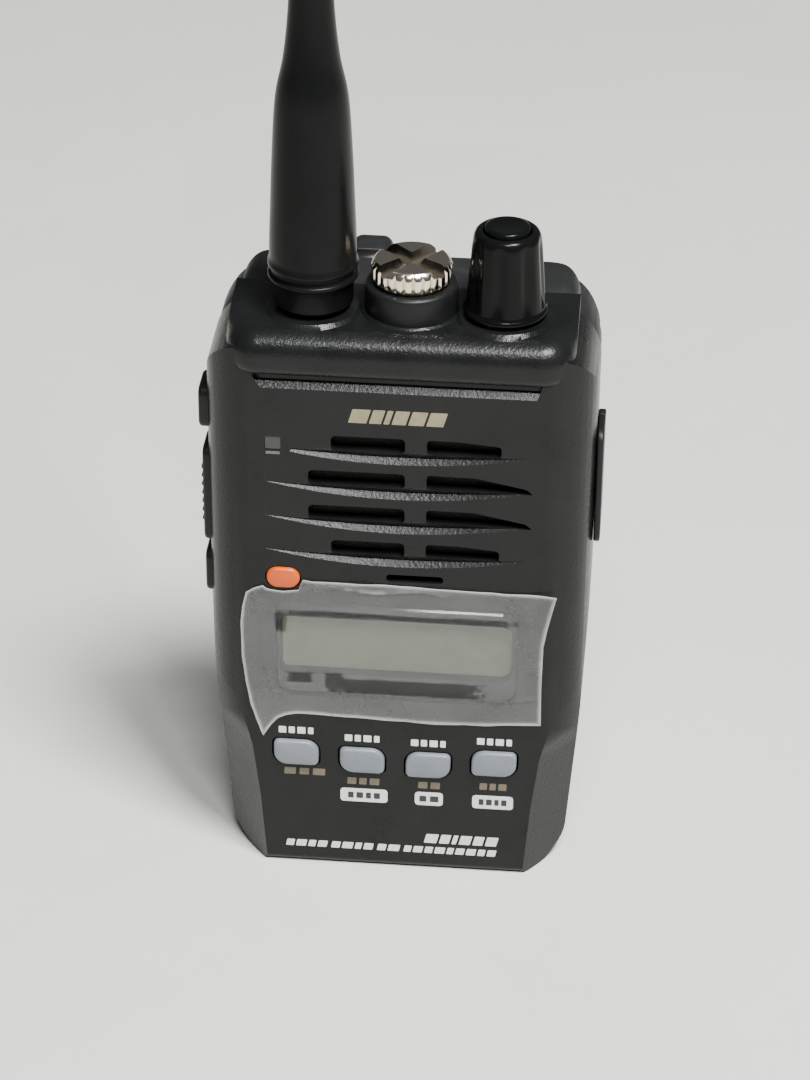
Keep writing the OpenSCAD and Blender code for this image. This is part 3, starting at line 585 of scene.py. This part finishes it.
# %% Machine the front shell
stem_rings = [rod((-13.3, -6, 94.8), 7.4, 0.7, top_radius=6.6),
              rod((14.9, -6, 94.8), 7.6, 0.7, top_radius=6.8),
              rod((1, -4.5, 94.8), 7.9, 0.45, top_radius=7.3)]
shell = machined(shell_blank, [("INTERSECT", plan), ("DIFFERENCE", flank_cutter(-1)),
                               ("DIFFERENCE", flank_cutter(1)),
                               ("DIFFERENCE", channel), ("UNION", top_roll(NOSE, SEAM)),
                               *(("UNION", ring) for ring in stem_rings),
                               ("DIFFERENCE", deep), ("DIFFERENCE", shallow), ("DIFFERENCE", stem_room),
                               *(("DIFFERENCE", cut) for cut in openings)])
shell = machined(shell, [("DIFFERENCE", cut) for cut in louvres + creases])
publish(shell, "front_shell", case_black, "case", ("front_case",), angle=30,
        weighted=True)

# %% [markdown]
# ## Turned pieces
# The antenna, its foot, the jack collar, the screw cap and the dial are all round. Each starts as a
# half section of radius and height, spun once round its own axis.

# %% Turning helper
def turned(section, centre, steps=72, closed=False):
    bm = bmesh.new()
    verts = [bm.verts.new((r, 0, z)) for r, z in section]
    edges = [bm.edges.new(pair) for pair in zip(verts, verts[1:])]
    if closed:
        edges.append(bm.edges.new((verts[-1], verts[0])))
    bmesh.ops.spin(bm, geom=verts + edges, cent=(0, 0, 0), axis=(0, 0, 1), angle=math.tau, steps=steps,
                   use_merge=True)
    bmesh.ops.remove_doubles(bm, verts=bm.verts, dist=0.001)
    bmesh.ops.recalc_face_normals(bm, faces=bm.faces)
    bmesh.ops.translate(bm, vec=centre, verts=bm.verts)
    return bm


def eased(points, count):
    """Passes a smooth curve through a few section points."""
    path = [points[0], *points, points[-1]]
    curve = []
    for a, b, c, d in zip(path, path[1:], path[2:], path[3:]):
        for k in range(count):
            t = k / count
            curve.append(tuple(0.5 * (2 * q + (r - p) * t + (2 * p - 5 * q + 4 * r - s) * t * t
                                      + (3 * q - p - 3 * r + s) * t ** 3)
                               for p, q, r, s in zip(a, b, c, d)))
    return curve + [points[-1]]


# %% Antenna
ANTENNA = (-13.3, -6, 95)
bell = eased([(6.4, 9), (6.38, 11), (6.2, 16), (5.8, 25.7), (5.25, 33.8), (4.15, 39.3), (3.5, 44.6),
              (3.15, 50), (3, 58)], 4)
tip = [(2.75 * math.cos(a), 162.2 + 2.75 * math.sin(a)) for a in (0, 0.3, 0.6, 0.9, 1.2, 1.4)]
sheath = [(0, 7.25), (6.15, 7.25), (6.5, 7.35), (6.65, 7.55), (6.65, 8.0), (6.5, 8.25), *bell, *tip,
          (0, 165)]
publish(turned(sheath, ANTENNA), "antenna_whip", sheath_black, "antenna",
        ("antenna_sheath",), angle=50)
foot = [(0, 6.2), (3.3, 6.2), (3.3, 1.5), (5.6, 1.5), (5.9, 1.75), (5.9, 5.2), (6.1, 5.45), (6.5, 5.55),
        (6.65, 5.75),
        (6.65, 6.05), (6.5, 6.25), (6.2, 6.35), (6.05, 6.6), (6.05, 7.2), (0, 7.2)]
publish(turned(foot, ANTENNA), "antenna_foot", sheath_black, "antenna", ("antenna_nut",),
        angle=40)

# %% Jack collar
collar = [(4.78, 0.3), (4.78, 4.15), (4.95, 4.35), (5.3, 4.42), (6.2, 4.42), (6.6, 4.3), (6.8, 4.0),
          (6.88, 3.6), (6.88, 0.1),
          (4.85, 0.1), (4.85, -2.6), (4.2, -2.6), (4.2, 0.3)]
publish(turned(collar, (1, -4.5, 95), closed=True), "jack_surround", rubber_black, "case",
        ("jack_collar",), angle=50)

# %% Screw cap
# The rim has 26 flutes. A cross of tapered slots takes a coin and leaves four raised lobes.
CAP, CAP_RIBS, CAP_TURN = Vector((1, -4.5, 99.9)), 26, math.radians(50)
cap_section = [(0, -3), (4.5, -3), (4.68, -2.8), (4.68, 0), (5.6, 0), (5.8, 0.15), (5.95, 0.4), (5.95, 1.2),
               (5.95, 2.0),
               (5.9, 2.35), (5.65, 2.7), (5.35, 3.05), (5.1, 3.2), (4.6, 3.24), (2.4, 3.1), (0, 3.05)]
cap = turned(cap_section, (0, 0, 0), steps=CAP_RIBS * 10)
for v in cap.verts:
    radius = math.hypot(v.co.x, v.co.y)
    if radius > 5.5 and v.co.z > 0.05:
        phase = (math.atan2(v.co.y, v.co.x) / math.tau * CAP_RIBS) % 1
        dip = math.exp(-((min(phase, 1 - phase) / 0.13) ** 2))
        fade = min(1, (2.75 - v.co.z) / 0.5) if v.co.z > 2.2 else 1
        shrink = 1 - 0.42 * dip * fade / radius
        v.co.x, v.co.y = v.co.x * shrink, v.co.y * shrink
slot_tools = []
for quarter in (0, 1):
    tool = push(outline([(-0.55, 1.9), (0.55, 1.9), (1.35, 3.6), (-1.35, 3.6)], SIDE_PLANE), (-6.5, 0, 0),
                (6.5, 0, 0))
    for v in tool.verts:
        v.co.y *= 0.8 + 0.06 * abs(v.co.x)
    bmesh.ops.rotate(tool, matrix=Matrix.Rotation(CAP_TURN + quarter * math.pi / 2, 3, "Z"),
                     verts=tool.verts)
    slot_tools.append(("DIFFERENCE", tool))
cap = machined(cap, slot_tools)
bmesh.ops.translate(cap, vec=CAP, verts=cap.verts)
publish(cap, "screw_cap", cap_nickel, "jack_cap", ("jack_cap",), angle=32)

# %% Dial
# Eight soft scallops run up the sides of the knob and fade out before its rounded shoulder.
DIAL = Vector((14.9, -6, 96.2))
knob_section = [(0, 11), (2.52, 11), (2.52, 1.4), (5.3, 1.4), (5.3, 0.1), (5.45, 0), (6.0, 0), (6.2, 0.15),
                (6.2, 0.5), (6.05, 0.72),
                (5.9, 0.85), (5.85, 1.3), *[(5.85 - 0.1 * k, 1.3 + 1.3 * k) for k in range(1, 8)],
                (5.0, 11.5), (4.88, 12.1),
                (4.6, 12.6), (4.2, 12.9), (3.85, 12.95), (3.6, 12.8), (3.45, 12.4), (3.42, 12.0), (0, 12.0)]
knob = turned(knob_section, (0, 0, 0), steps=128)
for v in knob.verts:
    radius = math.hypot(v.co.x, v.co.y)
    if radius > 4.4 and v.co.z > 0.9:
        ends = min(1, max(0, (v.co.z - 0.9) / 2)) * min(1, max(0, (12.3 - v.co.z) / 1.5))
        scallop = (0.5 + 0.5 * math.cos(8 * math.atan2(v.co.y, v.co.x) + 1.2)) ** 2
        shrink = 1 - 0.085 * ends * scallop
        v.co.x, v.co.y = v.co.x * shrink, v.co.y * shrink
bmesh.ops.translate(knob, vec=DIAL, verts=knob.verts)
publish(knob, "volume_dial", dial_black, "dial", ("dial_knob",), angle=50)
disc = [(0, 12.3), (3.2, 12.3), (3.32, 12.5), (3.34, 13.1), (3.22, 13.42), (2.95, 13.55), (2.6, 13.56),
        (2.3, 13.48), (0, 13.42)]
publish(turned(disc, DIAL, steps=64), "dial_disc", dial_black, "dial", ("dial_cap",),
        angle=50)

# %% [markdown]
# ## Keys
# The four front keys are translucent silicone pillows. Their outline starts from the same corners as
# the openings, the front loop is rounded, and three ever smaller copies of the front face raise the
# middle a little.

# %% Pillow helper
def pillow(bm, front, rounding, crown=0.0, steps=5):
    round_edges(bm, lambda p: p.y < front + 0.01, rounding, steps)
    top = [f for f in bm.faces if f.normal.y < -0.99 and f.calc_center_median().y < front + 0.01]
    middle = sum((f.calc_center_median() for f in top), Vector()) / len(top)
    for shrink, rise in ((0.75, 0.45), (0.6, 0.35), (0.4, 0.2)):
        grown = bmesh.ops.extrude_face_region(bm, geom=top)
        bmesh.ops.delete(bm, geom=[f for f in top if f.is_valid], context="FACES_ONLY")
        top = [f for f in grown["geom"] if isinstance(f, bmesh.types.BMFace)]
        edge_verts = list({v for f in top for v in f.verts})
        bmesh.ops.scale(bm, vec=(shrink, 1, shrink), space=Matrix.Translation(-middle), verts=edge_verts)
        bmesh.ops.translate(bm, vec=(0, -crown * rise, 0), verts=edge_verts)
    bmesh.ops.recalc_face_normals(bm, faces=bm.faces)
    return bm


# %% Front keys
for number, (x, z, lean) in enumerate(KEY_PLACES, start=1):
    key = pillow(along_y(key_outline(x, z, lean, 7.0, 4.5), -15.72, -12.5), -15.72, 0.55, 0.2)
    publish(key, f"pillow_key_{number}", key_grey, f"key_{number}", (f"key_{number}",),
            angle=50)
power = pillow(along_y(rounded(5.1, 3.5, 1.74, (-17.2, 53.5), steps=10), -15.6, -12.5), -15.6, 0.6, 0.12)
publish(power, "pillow_power", key_orange, "power_key", ("power_key",), angle=50)

# %% Side keys
for node_name, (z, length, proud) in SIDE_KEYS.items():
    outer = -29 - proud
    side_key = push(rounded(7, length, 1.5, (-5.5, z), SIDE_PLANE), (outer, 0, 0), (-26.3, 0, 0))
    round_edges(side_key, lambda p: p.x < outer + 0.01, 0.6, 4)
    parts = [side_key]
    if node_name == "ptt_key":
        parts += [rod((outer + 0.15, -8, z + step), 0.42, 5, "Y", sides=16)
                  for step in (-4.5, -3, -1.5, 0, 1.5, 3, 4.5)]
    publish(joined(parts), node_name.replace("_key", "_pad"), rubber_black, node_name,
            (node_name,), angle=50)

# %% [markdown]
# ## Display
# Behind a clear window lies a grey-green display. The window is a plate with a polished chamfer,
# which draws one bright line along its top edge.

# %% Window finish
def see_through(name, colour, alpha, rough, **sockets):
    material = finish(name, colour, colour, rough=(rough, rough * 1.3), grain=(1500, 0.000002), **sockets)
    material.node_tree.nodes["Principled BSDF"].inputs["Alpha"].default_value = alpha
    return material


window_clear = see_through("window_clear", (0.01, 0.01, 0.01), 0.2, 0.1, Specular_IOR_Level=0.7)
window_plate = along_y(rounded(37, 16.6, 2.5, (0, 40.6)), -14.95, -14.1)
round_edges(window_plate, lambda p: p.y < -14.94, 0.45, 1)
publish(window_plate, "window_plate", window_clear, "case", ("window_lens",), angle=40)

# %% Display
display = along_y(outline([(-17.6, 36.2, 0.8, 4), (17.5, 36.2, 1.6, 5), (17.5, 45.3, 1.6, 5),
                           (-17.6, 45.3, 0.8, 4)]), -12.98, -12.8)
publish(display, "display_area", display_green, "case", angle=40)
dress(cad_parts["lcd_panel"], socket_black)
frame_print = along_y(rounded(36.6, 16.6, 2.4, (0, 40.6)), -14.08, -14.02)
frame_print = machined(frame_print, [("DIFFERENCE", along_y(outline([(-17.9, 35.6, 1, 4),
                                                                     (17.8, 35.6, 2, 5), (17.8, 45.9, 2, 5),
                                                                    (-17.9, 45.9, 1, 4)]), -15, -13))])
publish(frame_print, "window_border", socket_black, "case", angle=40)

# %% [markdown]
# ## Protective film
# A cut piece of thin clear film still covers the window. It has a wavy edge, a lifted corner and a
# few places where it clings to the window. A grid is fitted between its four cut edges, and then
# lifted and crinkled vertex by vertex. Two attributes store where it clings and where it is whitened:
# along its cut edge, and as a painted highlight along the fold near the top.

# %% Cut edges of the film
FILM_TOP = [(-22.9, 50.6), (-21.6, 51.5), (-20.3, 52.0), (-19.7, 51.5), (-17.2, 51.2), (-14.8, 51.5),
            (-14.2, 53.4), (-12.8, 53.15),
            (-4, 53.2), (6, 53.0), (16, 52.75), (24.2, 52.9)]
FILM_BOTTOM = [(-20.5, 24.9), (-19.3, 26.7), (-18.3, 27.9), (-16.9, 28.6), (-15.3, 28.95), (-10, 28.7),
               (-2.6, 28.5), (3, 28.2), (9.2, 28.2),
               (16, 28.6), (22.4, 29.0)]
FILM_LEFT = [(-20.5, 24.9), (-21.6, 27.6), (-22.4, 30.1), (-23.2, 34.5), (-23.7, 38.9), (-23.8, 45.0),
             (-23.5, 48), (-22.9, 50.6)]
FILM_RIGHT = [(22.4, 29.0), (22.3, 36), (22.4, 43.4), (22.9, 46.5), (23.7, 50.5), (24.2, 52.9)]


def along(line, t):
    """The point a share t of the way along a cut edge."""
    steps = [math.dist(a, b) for a, b in zip(line, line[1:])]
    left = t * sum(steps)
    for (a, b), step in zip(zip(line, line[1:]), steps):
        if left <= step or b == line[-1]:
            share = min(1, left / step)
            return (a[0] + (b[0] - a[0]) * share, a[1] + (b[1] - a[1]) * share)
        left -= step


# %% Film sheet
FILM_ACROSS, FILM_DOWN = 150, 84
film = bmesh.new()
bmesh.ops.create_grid(film, x_segments=FILM_ACROSS, y_segments=FILM_DOWN, size=0.5)
edge_and_fold_highlight_layer = film.verts.layers.float.new("rim")
cling_layer = film.verts.layers.float.new("cling")
CLING = [((1.4, 34.4), (10.9, 1.25)), ((-14.7, 35.5), (1.7, 0.9)), ((-9.5, 35.3), (1.4, 1.3)),
         ((0, 47.2), (17, 0.45)),
         ((-17.6, 45.5), (0.8, 1.6))]
for v in film.verts:
    u, w = v.co.x + 0.5, v.co.y + 0.5
    top, bottom = along(FILM_TOP, u), along(FILM_BOTTOM, u)
    left, right = along(FILM_LEFT, w), along(FILM_RIGHT, w)
    corners = [(FILM_BOTTOM[0], (1 - u) * (1 - w)), (FILM_BOTTOM[-1], u * (1 - w)),
               (FILM_TOP[0], (1 - u) * w), (FILM_TOP[-1], u * w)]
    x, z = (bottom[k] * (1 - w) + top[k] * w + left[k] * (1 - u) + right[k] * u
            - sum(c[k] * s for c, s in corners) for k in (0, 1))
    border = min(u * 46, (1 - u) * 46, w * 25, (1 - w) * 25)
    spot = Vector((x, z, 0))
    ragged = 0.25 * noise.noise(spot * 1.3)
    cling = 0.0
    for (cx, cz), (rx, rz) in CLING:
        reach = max(abs(x - cx) / rx, abs(z - cz) / rz) + ragged
        cling = max(cling, min(1, max(0, (1.15 - reach) * 5)))
    v[cling_layer] = cling
    crinkle = (0.10 * noise.noise(spot * 0.35) + 0.05 * abs(noise.noise(spot * 0.9))
               + 0.004 * noise.noise(spot * 2.3))
    edge_lift = 0.28 * math.exp(-border / 1.1) * (0.6 + 0.9 * noise.noise(spot * 0.25 + Vector((5, 0, 0))))
    corner_lift = (1.1 * math.exp(-math.dist((x, z), (-20.8, 25.4)) / 2.6)
                   + 0.7 * math.exp(-math.dist((x, z), (24, 52.6)) / 2.8))
    fold = 0.3 * math.exp(-((z - 51.9 - 0.3 * math.sin(x * 0.5)) / 0.3) ** 2) * math.exp(-((x + 2) / 9) ** 2)
    # This value whitens the film's cut edge, and along the fold near the top it adds a painted highlight.
    v[edge_and_fold_highlight_layer] = max(math.exp(-((border / 0.35) ** 2)), fold * (0.6 + 1.5 * noise.noise(spot * 0.8)))
    fold += 0.2 * math.exp(-((z - 33.2 - 0.25 * (x - 19)) / 0.25) ** 2) * math.exp(-((x - 20) / 2.2) ** 2)
    lift = 0.12 + (max(0, crinkle) + max(0, edge_lift) + fold) * (1 - 0.9 * cling) + corner_lift
    v.co = (x, FACE - min(lift, 1.2), z)
bmesh.ops.recalc_face_normals(film, faces=film.faces)
film_piece_mesh = film

# %% Film finish
# The film is a pale veil: clearest where it clings, whitest along its cut edge, and whitened along
# the fold near the top as a painted highlight.
film_clear = finish("film_clear", (0.62, 0.64, 0.63), (0.5, 0.52, 0.52), rough=(0.34, 0.46),
                    grain=(500, 0.000002),
                    smudge=(150, 0.35, 0.7), Specular_IOR_Level=0.35)
film_nodes, film_links = film_clear.node_tree.nodes, film_clear.node_tree.links
edge_and_fold_highlight_value, cling_value = film_nodes.new("ShaderNodeAttribute"), film_nodes.new("ShaderNodeAttribute")
edge_and_fold_highlight_value.attribute_name, cling_value.attribute_name = "rim", "cling"
veil = film_nodes.new("ShaderNodeMapRange")
veil.inputs["To Min"].default_value, veil.inputs["To Max"].default_value = 0.07, 0.0
# Alpha rises along the cut edge and along the top fold, where the pale film colour is a painted highlight.
whiten = film_nodes.new("ShaderNodeMath")
whiten.operation = "MULTIPLY_ADD"
whiten.inputs[1].default_value = 0.4
film_links.new(cling_value.outputs["Fac"], veil.inputs["Value"])
film_links.new(edge_and_fold_highlight_value.outputs["Fac"], whiten.inputs[0])
film_links.new(veil.outputs["Result"], whiten.inputs[2])
film_links.new(whiten.outputs["Value"], film_nodes["Principled BSDF"].inputs["Alpha"])
film_sheet = publish(film_piece_mesh, "loose_film", film_clear, "case", ("screen_film",),
                     angle=60)
thin = film_sheet.modifiers.new("film_thickness", "SOLIDIFY")
thin.thickness, thin.offset = 0.07 * MM, 0

# %% [markdown]
# ## Printed marks
# Small printed marks sit by the keys and across the front. They are plain generic strokes and boxes,
# a few hundredths of a millimetre proud, so they stay separate pieces with their own ink.

# %% Marks
def stroke(x, z, width, height, slant=0.0, radius=0.12, front=FACE - 0.035):
    """One small printed bar with its middle at (x, z)."""
    bm = along_y(rounded(width, height, min(radius, 0.45 * width, 0.45 * height), (0, 0), steps=2), front,
                 FACE + 0.02)
    for v in bm.verts:
        v.co.x += slant * v.co.z
    bmesh.ops.translate(bm, vec=(x, 0, z), verts=bm.verts)
    return bm


def bar_row(x0, x1, z, height, widths, gap, slant):
    """A row of bars that fills x0 to x1; a width of 0 leaves a space."""
    scale = (x1 - x0) / (sum(widths) + gap * (len(widths) - 1))
    row, x = [], x0
    for width in widths:
        if width:
            row.append(stroke(x + width * scale / 2, z, width * scale, height, slant))
        x += (width + gap) * scale
    return row


badge = bar_row(-7, 7, 82.1, 2.3, [2.6, 1.7, 0.8, 2.0, 2.2, 2.4], 0.35, 0.3)
publish(joined(badge), "badge_bars", print_gold, "case", angle=40)
white_marks = []
for x, z, _ in KEY_PLACES:
    white_marks += bar_row(x - 2.7, x + 2.7, z + 4.05, 1.2, [1.1, 0.9, 1.2, 0.8], 0.38, 0.0)
white_marks += bar_row(-17.2, 16.0, 3.75, 1.2, [1.1, 1.4, 1, 1.3, 0, 1.2, 1.5, 0.9, 1.3, 0, 1.2, 1.6, 0, 1,
                                                1.3, 1.1, 1.4, 0.9, 1.2, 1.3, 1, 1.2], 0.32, 0.22)
white_marks += bar_row(4.8, 16.2, 6.0, 1.7, [1.9, 1.5, 0.7, 1.7, 1.5, 1.7], 0.4, 0.25)
publish(joined(white_marks), "white_marks", print_white, "case", angle=40)
key_boxes = [stroke(x, 13.7, width, 2.5, 0, 0.5) for x, width in ((-4.9, 7.4), (5.3, 4.4), (15.3, 6.4))]
publish(joined(key_boxes), "white_boxes", print_white, "case", angle=40)
box_dashes = [dash for x, width in ((-4.9, 7.4), (5.3, 4.4), (15.3, 6.4))
              for dash in bar_row(x - width * 0.34, x + width * 0.34, 13.7, 1.1,
                                  [1, 1.2] if width < 5 else [1, 1.2, 0.9, 1.1], 0.5, 0.0)]
for dash in box_dashes:
    bmesh.ops.translate(dash, vec=(0, -0.02, 0), verts=dash.verts)
publish(joined(box_dashes), "box_dashes", socket_black, "case", angle=40)
khaki_marks = [bar for x, z, width in ((-14.2, 17.7, 6.4), (-5.0, 16.4, 5), (5.3, 16.3, 3.4),
                                       (15.3, 16.7, 4.2))
               for bar in bar_row(x - width / 2, x + width / 2, z, 1.25,
                                  [1.2, 1, 1.3] if width > 4 else [1.2, 1.2], 0.4, 0.05)]
publish(joined(khaki_marks), "khaki_marks", print_khaki, "case", angle=40)
publish(stroke(-18.5, 75.2, 2.1, 0.45, 0, 0.1), "indicator_bar", print_khaki, "case", angle=40)

# %% [markdown]
# ## Floor and light
# The radio stands on a plain pale floor. A square light high in front on the right gives the soft
# shadow that falls back to the left. A long narrow light above the camera is aimed so that the roll,
# the ledges and the window's top edge mirror it. The floor itself fills the front.

# %% Floor
def plain_floor():
    bm = bmesh.new()
    bmesh.ops.create_grid(bm, x_segments=1, y_segments=1, size=3)
    mesh = bpy.data.meshes.new("floor")
    bm.to_mesh(mesh)
    bm.free()
    floor = bpy.data.objects.new("floor", mesh)
    bpy.context.scene.collection.objects.link(floor)
    floor.data.materials.append(finish("floor_paint", (0.65, 0.655, 0.615), (0.585, 0.59, 0.55),
                                       rough=(0.7, 0.8),
                                       grain=(900, 0.00002), smudge=(9, 0.3, 0.7)))
    return floor


plain_floor()


# %% Lights
def soft_light(name, place, target, size, power, colour=(1, 1, 1)):
    data = bpy.data.lights.new(name, "AREA")
    data.shape, data.size, data.size_y, data.energy, data.color = "RECTANGLE", *size, power, colour
    light = bpy.data.objects.new(name, data)
    light.location = place
    light.rotation_mode = "QUATERNION"
    light.rotation_quaternion = (Vector(target) - Vector(place)).to_track_quat("-Z", "Y")
    bpy.context.scene.collection.objects.link(light)
    return light


soft_light("high_right", (0.345, -0.38, 1.08), (0, 0, 0.03), (0.3, 0.3), 35, (1, 0.99, 0.97))
soft_light("front_strip", (0.088, -0.626, 1.0), (0, 0, 0.07), (0.26, 0.075), 10)

world = bpy.data.worlds.new("room")
bpy.context.scene.world = world
world.use_nodes = True
world.node_tree.nodes["Background"].inputs["Color"].default_value = (0.95, 0.97, 1, 1)
world.node_tree.nodes["Background"].inputs["Strength"].default_value = 0.13
